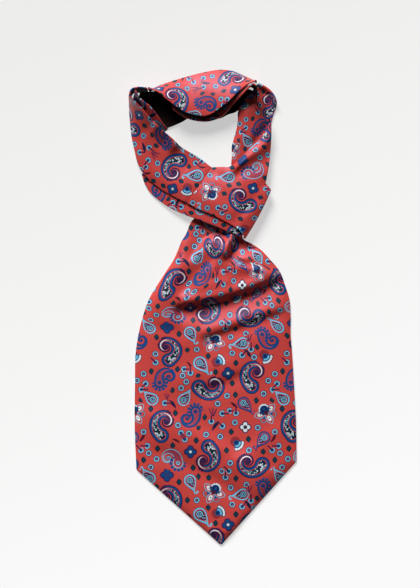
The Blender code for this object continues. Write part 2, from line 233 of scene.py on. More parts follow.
def print_curl(cloth):
    """The large paisley: a scalloped, curled tail with a white crescent, and a body of chips."""
    shape, along, outside, middle = cloth.spiral(
        end_angle=252, end_radius=14.1, growth=1.5, thin=0.43, swell=0.045, share=0.3)
    full_rim, rim_narrows_at, least_rim = 2.2, 9, 0.36
    rim = (middle / rim_narrows_at).clamp().calc("MAXIMUM", least_rim) * full_rim
    tail_turns, sharpness = 0.46, 12
    tail = (along + tail_turns) * sharpness
    lobe_rate, lobe_depth = 75, 0.17
    lobes = abs((along * lobe_rate).calc("SINE")) * (middle * lobe_depth)
    fringe = tail & -outside
    cloth.paint((shape - lobes - 0.25) & fringe, PLUM)
    cloth.paint((shape - lobes + 0.55) & fringe, BLUE, 0.6)
    cloth.layers(shape, (-0.7, NAVY), (0, BLUE))
    cloth.paint(shape & tail, PLUM)
    cloth.paint(shape + rim, cloth.ground)
    cloth.paint((abs(outside + middle * 0.14) - 0.22) & tail, PLUM)
    chips, gap = cloth.chips(size=1.7)
    body = (shape + rim + 0.7) & -(tail + 0.3)
    cloth.paint(body, NAVY)
    cloth.paint(body & (0.2 - gap), chips)
    crescent_at, half_length, half_width = 0.64, 0.27, 0.62
    bend = (along + crescent_at) / half_length
    crescent = abs(outside - middle * 0.03) - (1 - bend * bend) * half_width
    cloth.paint(crescent & (shape + rim), WHITE)


def print_beaded(cloth, rim, line, hollow):
    """The small paisley: a curled tail, beads round its broad end and a row of dots within."""
    end_angle, end_radius, cap_radius = 38, 10.6, 5.1
    shape, along, outside, middle = cloth.spiral(
        end_angle, end_radius, growth=1.42, thin=0.27, swell=0.21, share=0.45)
    cloth.layers(shape, (-0.35, PLUM), (0, rim))
    within = (shape + line) & -(along + hollow) * 12
    cloth.layers(within, (0, cloth.ground), (0.5, PLUM, 0.3))
    dots_a_turn = 22
    beside = ((along * dots_a_turn).calc("FRACT") - 0.5) * (middle * (2 * np.pi / dots_a_turn))
    for inset in (-0.16, 0.16):
        dot = far(beside, outside - middle * inset) - 0.6
        cloth.paint(dot & (within + 0.3), BLUE)
    cap = polar(end_radius, end_angle)
    cloth.discs(*cap, (1.9, rim), (0.8, PLUM))
    beads_a_turn, bead_ring, bead_radius = 12, cap_radius + 1.7, 1.5
    aside, ahead = cloth.turned(end_angle, *cap)
    step = 2 * np.pi / beads_a_turn
    turns = ahead.calc("ARCTAN2", aside) / step
    beside = (turns - turns.calc("ROUND")) * (step * bead_ring)
    beyond = cloth.distance(*cap) - bead_ring
    bead = far(beside, beyond) - bead_radius
    cloth.paint(bead & (-ahead - 3.5), BLUE)


def print_tear(cloth, rim):
    """A drop with a hooked tip: a rim, a line of ground, and a dotted dark drop with an eye."""
    bend, length, radius, sharpness = 0.05, 11, 5.8, 1.3
    squared = cloth.y * cloth.y
    steep = (squared * (2 * bend) ** 2 + 1) ** 0.5
    height = cloth.y / length
    width = (-(height * height) + 1).clamp() ** sharpness * radius
    upper = (abs(cloth.x - squared * bend) - width) / steep
    lower = cloth.circle(0, 0, radius)
    is_upper = (cloth.y * 4 + 0.5).clamp()
    body = upper * is_upper + lower * (1 - is_upper)
    cloth.layers(body, (-0.4, PLUM), (0, rim), (1.3, cloth.ground), (2, PLUM),
                 (2.6, WINE, 0.5))
    cloth.discs(0, -0.3, (2.9, PALE), (2.1, NAVY), (1.4, PALE), (0.8, NAVY))
    for x, y in ((-0.7, 3.6), (1.6, 3.7), (1.2, 5.2), (2.7, 6.8)):
        cloth.discs(x, y, (0.55, PALE))
    hook = abs(cloth.distance(4.6, 11.5) - 1.5) - 0.5
    cloth.paint(hook & (4.4 - cloth.x), rim)
    cloth.discs(3.5, 12.6, (1.1, rim))


def print_ring(cloth):
    """A pale ring with a dark edge and a dark middle."""
    cloth.discs(0, 0, (3.25, PLUM), (2.65, PALE), (1.6, NAVY), (0.6, ROSE))


def print_bud(cloth):
    """A ring left open at the top, where a thin stem leaves it."""
    opening = abs(cloth.x) - cloth.y * 0.84
    ring = abs(cloth.distance() - 2.15)
    cloth.paint((ring - 1.2) & -opening, PLUM)
    cloth.paint((ring - 0.65) & -opening, PALE)
    cloth.paint((abs(cloth.x) - 0.65) & (abs(cloth.y - 3.4) - 3.2), PLUM)
    cloth.discs(0, 0, (1.55, NAVY), (0.9, BLUE))


def print_diamond(cloth):
    """A small dark lozenge, lighter in the middle."""
    half_width, half_height, power = 2.6, 3.3, 1.3
    across, up = abs(cloth.x) / half_width, abs(cloth.y) / half_height
    lozenge = ((across ** power + up ** power) ** (1 / power) - 1) * 2
    cloth.layers(lozenge, (0, TEAL), (1.3, BLUE, 0.6))


def print_cross(cloth, petal, heart, radius):
    """A flower of four round petals with a dark edge."""
    out = radius * 1.45
    petals = cloth.circle(0, out, radius) | cloth.circle(0, -out, radius)
    petals = petals | cloth.circle(out, 0, radius) | cloth.circle(-out, 0, radius)
    cloth.layers(petals, (-1.1, PLUM), (0, petal))
    cloth.discs(0, 0, (1.8, WINE), (1.3, heart))


def print_fan(cloth):
    """A flower seen from the side: a scalloped fringe, a line, a base, and a faint halo."""
    angle = cloth.y.calc("ARCTAN2", cloth.x)
    scallop = abs((angle * 9).calc("SINE")) * 0.7
    side = (abs(cloth.x) - cloth.y * 0.95 - 1.6) * 0.72
    cloth.paint(cloth.circle(0, -0.8, 4.8), WINE, 0.6)
    cloth.paint((cloth.circle(0, 0, 7.8) - scallop) & (side - 0.5), NAVY)
    cloth.paint((cloth.circle(0, 0, 7.1) - scallop) & side, WHITE)
    cloth.paint(cloth.circle(0, 0, 5.7) & side, BLUE)
    cloth.paint(cloth.circle(0, 0, 4.6) & (side + 0.6), CYAN)
    cloth.discs(0, 0.6, (2.6, BLUE))
    cloth.discs(0, 0.3, (1.2, NAVY))


def print_orchid(cloth):
    """A flower of one big fringed petal, three long outlined ones and two small ones."""
    for turn in (128, -128):
        lobe = abs(cloth.circle(*polar(6, turn + 90), 2.4))
        cloth.layers(lobe, (-0.65, PLUM, 0.8), (-0.3, PALE, 0.6))
        cloth.paint(cloth.oval(*polar(3.6, turn + 90), 1.5, 2.2, turn), BLUE)
    for turn in (76, -76, 180):
        petal = cloth.almond(0, 0, turn, 10.4, 3.1)
        cloth.layers(petal, (-0.2, PLUM, 0.7), (0, PALE, 0.85), (0.6, cloth.ground),
                     (1.1, WINE, 0.4))
        cloth.paint(cloth.oval(*polar(5.1, turn + 90), 1.6, 2.5, turn), WHITE)
        cloth.discs(*polar(4.9, turn + 90), (0.5, NAVY))
    angle = (cloth.y - 3.4).calc("ARCTAN2", cloth.x)
    scallop = abs((angle * 6).calc("SINE")) * 0.6
    cloth.paint(cloth.oval(0, 3.6, 4.4, 4.2) - scallop, NAVY)
    cloth.paint((cloth.oval(0, 3.8, 4, 3.9) - scallop) & (3.4 - cloth.y), WHITE)
    for *oval, ink in ((0, 3.2, 3.6, 3.6, BLUE), (0, 3.2, 2.6, 2.7, NAVY),
                       (0, 3.6, 1.1, 1.6, BLUE)):
        cloth.paint(cloth.oval(*oval), ink)
    cloth.discs(0, 0, (1.6, WINE))


def print_leaf(cloth, ink):
    """A slim pointed leaf."""
    arc_radius, half_length, half_width = 16, 6.6, 1.6
    arc = abs(cloth.distance(0, -arc_radius) - arc_radius)
    taper = 1 - (cloth.x / half_length) ** 2
    cloth.paint(arc - taper * half_width, ink)


def print_sprig(cloth):
    """Three dotted lines that spread upwards."""
    pitch, dot_radius, middle, half_length = 1.5, 0.7, 5.5, 4
    for turn in (-22, 0, 22):
        across, up = cloth.turned(turn, 0, -5)
        gap = ((up / pitch).calc("FRACT") - 0.5) * pitch
        dot = far(across, gap) - dot_radius
        cloth.paint(dot & (abs(up - middle) - half_length), PLUM)


# The motifs. First how each is drawn, with its own values, and the ground that it keeps: an
# ellipse in its own millimetres, centre x, centre y, half width, half height. Then where it
# stands in the repeat: x, y, turn in degrees, size. It is upright where no turn follows,
# full size where no size does, and mirrored where that is negative.
UPRIGHT = (0, 1)
MOTIFS = {
    "curl": (
        print_curl, (), (-5.4, -5.6, 12.6, 16.8),
        (24, 130.5, -5, -1), (69.5, 93, -97, -1), (110.5, 104.5), (24, 57.5),
        (60.5, 20, 180), (102.5, 19, 97),
    ),
    "beaded_blue": (
        print_beaded, (BLUE, 2, 0.38), (4.5, 2.5, 11.8, 12.2),
        (44, 60.5), (126, 135.5, 7, -1), (27, 100, 173),
    ),
    "beaded_cyan": (
        print_beaded, (PALE, 0.8, 1.2), (4.5, 2.5, 11.8, 12.2),
        (26, 22, -167, -1),
    ),
    "tear_cyan": (
        print_tear, (CYAN,), (1.2, 3.2, 7.2, 10),
        (47, 1, -131), (8.5, 3, 63), (11, 78.5, 72), (41, 78, -59, -1), (98, 132.5, 125),
        (56.5, 113.5, -115, 1.1),
    ),
    "tear_blue": (
        print_tear, (BLUE,), (1.2, 3.2, 7.2, 10),
        (98.5, 75, -113), (118, 42, 116, -1),
    ),
    "orchid": (
        print_orchid, (), (0, -0.3, 10.2, 10.4),
        (120, 65.5, 31, 1.15), (69.5, 134.5, -30, -1.15),
    ),
    "cross_plain": (
        print_cross, (BLUE, BLUE, 2.3), (0, 0, 6.8, 6.8),
        (25, 6),
    ),
    "cross_blue": (
        print_cross, (BLUE, WHITE, 2.15), (0, 0, 6.6, 6.6),
        (47.5, 28.5), (83.5, 103.5, 10),
    ),
    "cross_white": (
        print_cross, (WHITE, NAVY, 1.95), (0, 0, 6.2, 6.2),
        (100, 52),
    ),
    "fan": (
        print_fan, (), (0, 1.6, 7.6, 7.2),
        (91, 37.5, -135), (73, 114.5, -60), (118.5, 120.5, -140),
    ),
    "ring": (
        print_ring, (), (0, 0, 3.1, 3.1),
        (53.5, 127), (2.5, 103), (122, 96.5), (40, 101.5), (43.5, 95.5), (38.5, 89.5),
        (73.5, 74.5), (101, 142), (86, 139), (87.5, 123), (108.5, 119), (117.5, 84),
        (82.5, 82), (35.5, 54), (2.5, 47.5), (62.5, 45), (76, 43), (46, 46), (90, 56.5),
        (112, 51.5), (103.5, 30), (7.5, 27), (15, 21.5), (9.5, 13.5), (85.5, 18),
        (77.5, 10), (14, 122.5),
    ),
    "bud": (
        print_bud, (), (0, 2.2, 2.8, 5.2),
        (23, 75, -90), (4.5, 93.5, 135), (0.5, 88, -90), (41.5, 107.5, -90), (47.5, 104),
        (97, 121, -45), (105.5, 126.5), (14, 114, 45), (38.5, 46.5, -135), (42, 40.5, 45),
        (85, 67.5, -90), (91, 65.5), (78, 65, -90), (78, 53, 45), (6, 34, 90), (0, 30, 45),
        (84, 10, 45), (81, 4), (67.5, 57.5),
    ),
    "diamond": (
        print_diamond, (), (0, 0, 2.3, 3),
        (50, 13), (55, 4.5), (65, 3.5), (36.5, 144.5), (15, 139.5), (44.5, 127),
        (64.5, 120), (10, 105.5), (35, 107.5), (30, 87.5), (0, 78), (55, 101), (71.5, 105),
        (91, 3), (111.5, 129), (91, 113.5), (87.5, 94), (90.5, 83), (110.5, 77.5),
        (9.5, 69.5), (33, 65.5), (61, 61.5), (55, 52), (53, 39.5), (86.5, 47.5),
        (103, 40.5), (82, 30), (117, 28.5), (16, 31.5), (30.5, 34.5), (2.5, 20.5),
    ),
    "leaf_dark": (
        print_leaf, (NAVY,), (0, 0, 6, 2),
        (30, 75, -43), (71.5, 54, 49), (102, 123.5, -45),
    ),
    "leaf_wine": (
        print_leaf, (WINE,), (0, 0, 6, 2),
        (47, 111.5, -56, 0.7), (34, 39.5, -30, 0.7), (90, 72.5, -47, 0.9),
        (1.5, 41.5, -122, 0.9),
    ),
    "sprig": (
        print_sprig, (), (0, 0, 3.6, 4.6),
        (69, 66), (103, 137.5), (25, 81.5, 0, 0.7),
    ),
}


def weave(tree, shader, relief):
    """Twill ribs along the diagonal of the cloth with uneven threads, as a soft bump."""
    place = add_node(tree, "UVMap", {}, uv_map="cloth").outputs[0]
    ribs = add_node(tree, "TexWave",
                    {"Vector": place, "Scale": 0.5 / TWILL_PITCH, "Distortion": 0.6},
                    wave_type="BANDS", bands_direction="DIAGONAL")
    slub = add_node(tree, "TexNoise", {"Vector": place, "Scale": 0.35, "Detail": 3})
    uneven = Field(tree, slub.outputs["Fac"])
    height = Field(tree, ribs.outputs["Fac"]) * 0.5 + uneven
    bump = add_node(tree, "Bump", {"Strength": relief, "Distance": TWILL_DEPTH * MM,
                                   "Height": height.socket})
    set_inputs(shader, {"Normal": bump.outputs[0]})
    return uneven


def new_material(name):
    """A material with nodes, its node tree and its shader."""
    material = bpy.data.materials.new(name)
    material.use_nodes = True
    return material, material.node_tree, material.node_tree.nodes["Principled BSDF"]


def satin(name, dye, shades, roughness, sheen, gloss, relief):
    """A satin cloth: its material, node tree and shader, and the socket of its dye, which
    its threads take up unevenly. Its even values stand on the shader's own sockets."""
    material, tree, shader = new_material(name)
    set_inputs(shader, {
        "Roughness": roughness,
        "Sheen Weight": sheen,
        "Sheen Roughness": 0.35,
        "Sheen Tint": (0.75, 0.62, 1, 1),
        "Specular IOR Level": gloss,
        "Specular Tint": (0.8, 0.7, 1, 1),
    })
    inks = [tuple(shade * part for part in dye) for shade in shades]
    return material, tree, shader, blend(tree, weave(tree, shader, relief), *inks)


def printed_silk(kind):
    """The silk where one kind of motif is printed on it."""
    material, tree, shader, dye = satin("printed_silk_" + kind, CORAL, (0.9, 1.1),
                                        roughness=0.46, sheen=0.04, gloss=0.4, relief=0.25)
    cloth = Motif(tree)
    cloth.ground = cloth.colour = dye
    draw, own_values, *_ = MOTIFS[kind]
    draw(cloth, *own_values)
    set_inputs(shader, {"Base Color": cloth.colour})
    return material


SILK = [printed_silk(kind) for kind in MOTIFS]
MOTIF_REACH = 24  # no motif's ground reaches further past the repeat's edge


def nearest_motif(spots):
    """For each spot of the repeat's plane (n x 2): the kind, place, turn and size of the
    motif whose ground it lies in, which is the one whose ellipse is nearest."""
    grounds = [ground for _, _, ground, *_ in MOTIFS.values()]
    rows = np.array([(*row, *UPRIGHT[len(row) - 2:], kind)
                     for kind, (_, _, _, *places) in enumerate(MOTIFS.values())
                     for row in places])
    shifts = np.array([(i, j) for i in (-1, 0, 1) for j in (-1, 0, 1)])
    rows = np.concatenate([rows + (*(shift * REPEAT), 0, 0, 0) for shift in shifts])
    near = (rows[:, :2] > -MOTIF_REACH) & (rows[:, :2] < REPEAT + MOTIF_REACH)
    rows = rows[near.all(axis=1)]
    tile = np.floor(spots / REPEAT) * REPEAT
    spots = spots - tile
    best, choice = np.full(len(spots), np.inf), np.zeros(len(spots), int)
    for place, (x, y, turn, size, kind) in enumerate(rows):
        local = to_motif(spots, x, y, turn, size)
        centre_x, centre_y, half_width, half_height = grounds[int(kind)]
        ratio = np.hypot((local[:, 0] - centre_x) / half_width,
                         (local[:, 1] - centre_y) / half_height)
        gap = (ratio - 1) * min(half_width, half_height) * abs(size)
        closer = gap < best
        best[closer], choice[closer] = gap[closer], place
    return rows[choice], tile


def to_motif(spots, x, y, turn, size):
    """Spots of a plane in the own millimetres of what stands at x, y, turned and sized."""
    across, up = turned(spots[..., 0] - x, spots[..., 1] - y, turn)
    return np.stack((across / size, up / abs(size)), axis=-1)


# ------
# The front blade. The wide end of the cravat, two layers of the silk sewn to a point. It is
# pulled out below the crossing, gathered in soft folds at its throat and flat lower down.
RIM_RADIUS, RIM_CORNER = 0.45, 55  # the rounding of a cut edge, and how sharp it is


def lengths(vectors):
    """The vectors' lengths, kept off zero."""
    return np.maximum(np.linalg.norm(vectors, axis=-1, keepdims=True), 1e-9)


def shell(name, points, wall, cloth_at, materials, inner_face=None):
    """A closed wall of cloth under a grid of points, rows x across x 3, in millimetres.

    The underside lies one wall below along the surface's normal, and level with the table
    where it would sink into it. cloth_at is where each point lies on the flat cloth, and
    inner_face a material for the underside alone.
    """
    along, across = points.shape[:2]
    by_row, by_column = np.gradient(points, axis=0), np.gradient(points, axis=1)
    normal = np.cross(by_row, by_column)
    normal /= lengths(normal)
    turned_over = normal[..., 2].sum() < 0
    if turned_over:
        normal = -normal
    under = points - normal * wall
    under[..., 2] = np.maximum(under[..., 2], 0)
    top = np.arange(along * across).reshape(along, across)
    low = top + along * across
    quads = [grid_quads(top), grid_quads(low)[:, ::-1]]
    for rim in ((low[0], top[0]), (top[-1], low[-1]), (top[:, 0], low[:, 0]),
                (low[:, -1], top[:, -1])):
        quads.append(grid_quads(np.array(rim)))
    quads = np.concatenate(quads)
    if turned_over:
        quads = quads[:, ::-1]
    mesh = bpy.data.meshes.new(name)
    spots = np.concatenate((points.reshape(-1, 3), under.reshape(-1, 3))) * MM
    mesh.from_pydata(spots.tolist(), [], quads.tolist())
    flat = np.concatenate((cloth_at.reshape(-1, 2),) * 2)
    corners = flat[quads]
    write_uv(mesh, "cloth", corners)
    if len(materials) > 1:
        rows, tile = nearest_motif(corners.mean(axis=1))
        x, y, turn, size, kind = rows.T[:, :, None]
        write_uv(mesh, "motif", to_motif(corners - tile[:, None], x, y, turn, size))
        kind = kind.astype(int).ravel()
        if inner_face:
            one_side = (along - 1) * (across - 1)
            kind[one_side:2 * one_side] = len(materials)
            materials = [*materials, inner_face]
        mesh.polygons.foreach_set("material_index", kind)
    for material in materials:
        mesh.materials.append(material)
    mesh.shade_smooth()
    piece = add_object(name, mesh)
    rim = piece.modifiers.new("rolled rim", "BEVEL")
    rim.width = RIM_RADIUS * MM
    rim.segments = 2
    rim.limit_method = "ANGLE"
    rim.angle_limit = np.radians(RIM_CORNER)
    return piece


def add_object(name, data):
    """An object of the scene, from its data."""
    thing = bpy.data.objects.new(name, data)
    bpy.context.scene.collection.objects.link(thing)
    return thing


def stands_for(piece, node, slot, **cut):
    """Hides the CAD node that a cloth replaces and attaches the cloth to the root body. The slot
    and the cut are not used.
    """
    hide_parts(node)
    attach(piece, "root")


def grid_quads(index):
    """Four-cornered faces between the neighbouring rows and columns of an index grid."""
    return np.stack((index[:-1, :-1], index[1:, :-1], index[1:, 1:], index[:-1, 1:]),
                    axis=-1).reshape(-1, 4)


def write_uv(mesh, name, corners):
    layer = mesh.uv_layers.new(name=name)
    layer.data.foreach_set("uv", corners.reshape(-1).astype(np.float32))


BLADE_WIDTH = 153.7
BLADE_LIFT = 3.4
EDGE_Z = 1.7
WALL = 1.5
CORNER_LEFT = (-73, -156)
CORNER_RIGHT = (CORNER_LEFT[0] + BLADE_WIDTH, -148)
TIP_LEFT, TIP_RIGHT = (7, -227.6), (9.2, -227.6)


def on_edge(*rows):
    """Sections with both ends at the edge's height: foot x, y, head x, y, crown."""
    return [(*row[:2], EDGE_Z, *row[2:4], EDGE_Z, row[4]) for row in rows]


# Sections across the cloth. Columns: foot x, y, z, head x, y, z, crown, bow. The last two
# are 0 where a row leaves them out.
FOOT, HEAD = slice(0, 3), slice(3, 6)
FOOT_X, FOOT_Y, FOOT_Z, HEAD_X, HEAD_Y, HEAD_Z, CROWN, BOW = range(8)
BLADE = (
    (20, 126, 3.4, 42.5, 125.1, 2.8, 1.4),
    (9.1, 107.5, 2.6, 41.8, 108.5, 2.6, 4),
    (-5.3, 94, 2, 38, 93, 2.2, 5.6),
    (-20.6, 81.6, 1.8, 31, 76.8, 1.9, 5.4),
    *on_edge(
        (-25, 71, 29.3, 65.8, 5.6),
        (-29.8, 62.9, 38, 60.5, 6.6),
        (-33.1, 54.7, 46.6, 54.7, 7.6),
        (-37, 46, 55.2, 45.6, 8),
        (-44.2, 34.6, 64.3, 34.6, 7.2),
        (-53.3, 20.6, 69.6, 21, 6.4),
        (-61.4, 6.7, 74, 6.7, 5.8),
        (-66.7, -8.6, 75, -8.6, 5),
        (-71, -26, 75, -26, 4.4),
        (-73.6, -43, 76.3, -43, 3.8),
        (-74.4, -75, 78.2, -75, BLADE_LIFT),
        (-74.6, -118, 80.2, -113, BLADE_LIFT),
        (*CORNER_LEFT, *CORNER_RIGHT, BLADE_LIFT),
    ),
)
POINT = on_edge(
    (*CORNER_LEFT, *CORNER_RIGHT, BLADE_LIFT),
    (*TIP_LEFT, *TIP_RIGHT, BLADE_LIFT),
)
ROUND, FLAT_TOP, TIP_TOP = 2, 8, 4
THROAT_WIDTH = 60
TIP_FADE = 6
EDGE_BIAS = 0.35       # points lie closer together towards the edges
HEM_POWER = 6          # folds die out there, the closer the larger this is

# Folds and creases. Columns: start x, start y, end x, end y, bow to the left of that
# line, height (negative for a trough), half width on the left of it, and on the right
# where that differs.
FOLD_COLUMNS = 8
BLADE_FOLDS = (
    (19, 67, 12.5, 53, 0, 5.2, 3.2, 7),
    (23.5, 55, 43, 61, 0, -6, 5.5, 7.5),
    (-13, 79, 9, 70.5, 0, -4.5, 4, 6.5),
    (25, 66, 18, 49, 0, -3.6, 4, 3.2),
    (14.5, 47, 36, 41, -1, -1.8, 3.2, 5),
    (0, 78, -20, 52, 0, -4.6, 5.5, 10),
    (-62, 8, -34, 50, 0, 3.2, 4.5, 17),
    (5.5, 47, 7.5, 37, 0, -1.6, 3.2),
    (-4, 44, -24, 23, -1.5, -3.2, 6, 12),
    (-12, 18, 14, 24, 0, 1.4, 5.5),
    (27, 38, 65, 31, 0, 1.8, 4.5),
    (55, 29, -26, 6.5, 3.5, 2.6, 5, 6),
    (64, 24, -31, -3.5, 4.5, -5.3, 13, 4.6),
    (65, 0, -8, -24, 0, 1.5, 5.5),
    (68, -6.5, -4, -31.5, 0, -2.4, 9, 4.5),
    (-60, -19, -28, -25, 0, -0.9, 6),
    (-26, -69, 14, -56, 1, 1.6, 9, 13),
    (27, -66, -9, -81, 1, -1.5, 8, 4.5),
    (-58, -107, 43, -158, 2, 3, 10, 23),
    (64, -118, 22, -150, 1, 1.4, 12, 7),
    (-46, -141, 34, -186, 2, -1.5, 7.5, 9),
    (-72, -122, -56, -139, 0, -0.8, 6),
    (46, -78, 60, -121, 3, -0.6, 9),
)


def full_rows(rows):
    """A table of sections with the crown and bow of every row."""
    return np.array([(*row, 0, 0)[:BOW + 1] for row in rows], dtype=float)


def smooth_rows(rows, count):
    """Catmull-Rom through the rows, spaced by the mean distance between their ends."""
    table = full_rows(rows)
    feet = np.linalg.norm(np.diff(table[:, FOOT], axis=0), axis=1)
    heads = np.linalg.norm(np.diff(table[:, HEAD], axis=0), axis=1)
    knots = np.concatenate(([0], np.cumsum(0.5 * (feet + heads))))
    slopes = np.gradient(table, knots, axis=0)
    at = np.linspace(0, knots[-1], count)
    k = np.clip(np.searchsorted(knots, at, side="right") - 1, 0, len(knots) - 2)
    span = (knots[k + 1] - knots[k])[:, None]
    t = (at - knots[k])[:, None] / span
    return (
        (2 * t**3 - 3 * t**2 + 1) * table[k]
        + (t**3 - 2 * t**2 + t) * span * slopes[k]
        + (3 * t**2 - 2 * t**3) * table[k + 1]
        + (t**3 - t**2) * span * slopes[k + 1]
    )


def straight_rows(rows, count):
    """Rows on straight lines from the first of two to the last, without the first."""
    first, last = full_rows(rows)
    share = np.linspace(0, 1, count + 1)[1:, None]
    return first * (1 - share) + last * share


def section_points(rows, across, squareness=2):
    """Points of the lofted cloth: rows x across x 3.

    The swell is 1 - |2a - 1| ** squareness, a parabola at 2 and a flat top above it. The
    crown is laid off square to the section, the bow level and square to it.
    """
    foot, head = rows[:, None, FOOT], rows[:, None, HEAD]
    a = across[None, :, None]
    line = foot + (head - foot) * a
    chord = head - foot
    level, length = lengths(chord[..., :2]), lengths(chord)
    heading = chord[..., :2] / level
    up = np.concatenate((-heading * chord[..., 2:] / length, level / length), axis=-1)
    side = np.concatenate((-heading[..., 1:], heading[..., :1], 0 * level), axis=-1)
    power = np.broadcast_to(squareness, len(rows))[:, None, None]
    swell = 1 - np.abs(2 * a - 1) ** power
    parabola = 1 - (2 * a - 1) ** 2
    crown, bow = rows[:, None, CROWN, None], rows[:, None, BOW, None]
    return line + up * crown * swell + side * bow * parabola


def bell(distance, half_width):
    """Bell curve of height 1."""
    return np.exp(-((distance / half_width) ** 2))


def ramp(x, start, end):
    """0 up to start, 1 from end on, straight between them."""
    return np.clip((x - start) / (end - start), 0, 1)


def beside(points, start_x, start_y, end_x, end_y):
    """How far each point is along a line, as a share of it, and to its left, and the
    line's length."""
    along = np.array((end_x - start_x, end_y - start_y))
    length = np.hypot(*along)
    offset = points[..., :2] - (start_x, start_y)
    to_left = np.array((-along[1], along[0]))
    return offset @ along / length**2, offset @ to_left / length, length


def fold_heights(points, folds):
    """Sum of the folds at each point: a bell across each bowed line, rounded at its ends,
    often steeper on one side of the line."""
    height = np.zeros(points.shape[:-1])
    for fold in folds:
        *line, bow, fold_height, left_width, right_width = (*fold, fold[-1])[:FOLD_COLUMNS]
        share, aside, length = beside(points, *line)
        inner = np.clip(share, 0, 1)
        beyond = (share - inner) * length
        aside = aside - 4 * bow * inner * (1 - inner)
        half_width = np.where(aside > 0, left_width, right_width)
        height += fold_height * bell(beyond, right_width) * bell(aside, half_width)
    return height


def blade_points(body_rows, point_rows, cells):
    """The front blade: gathered at the throat, flat and square-edged lower down."""
    rows = np.concatenate((smooth_rows(BLADE, body_rows), straight_rows(POINT, point_rows)))
    width = rows[:, HEAD_X] - rows[:, FOOT_X]
    squareness = ROUND + (FLAT_TOP - ROUND) * ramp(width, THROAT_WIDTH, BLADE_WIDTH)
    squareness[body_rows:] = np.linspace(FLAT_TOP, TIP_TOP, point_rows)
    to_tip = np.linspace(1, 0, point_rows)
    rows[body_rows:, CROWN] *= np.minimum(1, TIP_FADE * to_tip)
    even = np.linspace(0, 1, cells + 1)
    across = (1 - EDGE_BIAS) * even + EDGE_BIAS * (0.5 - 0.5 * np.cos(np.pi * even))
    points = section_points(rows, across, squareness)
    inside = 1 - np.abs(2 * across - 1) ** HEM_POWER
    points[..., 2] += fold_heights(points, BLADE_FOLDS) * inside
    points[..., 2] = np.maximum(points[..., 2], EDGE_Z)
    return points


# The print lies straight on the flat blade. In the gathers each deep trough swallows a
# stretch of cloth, so that beyond it the print is ahead. Columns: start x, start y, end x,
# end y of the trough, print gained in x and y on its left, half width, and the share of its
# length over which it begins.
BLADE_PRINT = np.array((68.6, 167))
GATHERS = (
    (5, 5, -3, 85, -13, 0, 7, 0.35),
    (11, 48.5, 64, 36.5, 17, 0, 2, 0.15),
    (-80, -20, 90, 31, 0, 6, 5.5, 0.2),
    (-60, -52, 90, 3, 0, 3.4, 5.5, 0.2),
)
ROUND_EDGE_FROM, ROUND_EDGE_TO, ROUND_EDGE_GAIN = 10, 61, 14
ROUND_EDGE_LOW_Y, ROUND_EDGE_HIGH_Y, ROUND_EDGE_BEND = -30, 20, 1.5


def print_gained(points):
    """How far the print is ahead at each point: a smooth step across every gather, and
    the turn of the cloth under the right edge."""
    gained = np.zeros(points.shape[:-1] + (2,))
    for *line, gain_x, gain_y, half_width, begins in GATHERS:
        share, aside, _ = beside(points, *line)
        share = ramp(share, 0, begins)
        step = (0.5 + 0.5 * np.tanh(aside / half_width)) * share * share * (3 - 2 * share)
        gained += step[..., None] * (gain_x, gain_y)
    turn = ramp(points[..., 0], ROUND_EDGE_FROM, ROUND_EDGE_TO) ** ROUND_EDGE_BEND
    begins = ramp(points[..., 1], ROUND_EDGE_LOW_Y, ROUND_EDGE_HIGH_Y)
    gained[..., 0] += ROUND_EDGE_GAIN * turn * begins
    return gained


blade = blade_points(body_rows=226, point_rows=60, cells=122)
blade_cloth = blade[..., :2] + print_gained(blade) + BLADE_PRINT
blade_front = shell("silk_blade_front", blade, WALL, blade_cloth, SILK)
stands_for(blade_front, "blade_front", "printed_silk",
           flat=(0.155, 0.36), held="gathered", area=0.041)

# ------
# The rear blade. The other wide end, made like the front one, which lies flat under it and
# just inside its edges.
REAR_INSET = 9
REAR_TIP_Y = -206
REAR_PRINT = (31, 94)
# Soft ridges where it was folded over the neckband. Columns as in the front blade's folds.
REAR_FOLDS = (
    (-44, 8, 30, -14, 2, 0.4, 6, 4),
    (52, -38, -12, -52, -2, 0.3, 5),
    (-58, -78, 18, -96, 3, 0.45, 7, 4.5),
    (38, -112, 4, -158, 0, 0.35, 6),
    (-50, -128, -22, -160, -2, 0.3, 4.5),
)


def rear_blade_points(stations, point_rows, cells):
    """Flat, set inside the front blade, more so where that is gathered, with a point."""
    body = smooth_rows(BLADE[2:], stations)
    inset = REAR_INSET + body[:, CROWN] - BLADE_LIFT
    body[:, FOOT_X] += inset
    body[:, HEAD_X] -= inset
    tip = body[-1].copy()
    tip[[FOOT_X, HEAD_X]] = TIP_LEFT[0], TIP_RIGHT[0]
    tip[[FOOT_Y, HEAD_Y]] = REAR_TIP_Y
    rows = np.concatenate((body, straight_rows((body[-1], tip), point_rows)))
    rows[:, [FOOT_Z, HEAD_Z]] = WALL
    rows[:, [CROWN, BOW]] = 0
    return section_points(rows, np.linspace(0, 1, cells + 1))


rear = rear_blade_points(stations=120, point_rows=26, cells=60)
rear[..., 2] += fold_heights(rear, REAR_FOLDS)
blade_rear = shell("silk_blade_rear", rear, WALL, rear[..., :2] + REAR_PRINT, SILK)
stands_for(blade_rear, "blade_rear", "printed_silk",
           flat=(0.136, 0.30), held="laid", area=0.0315)
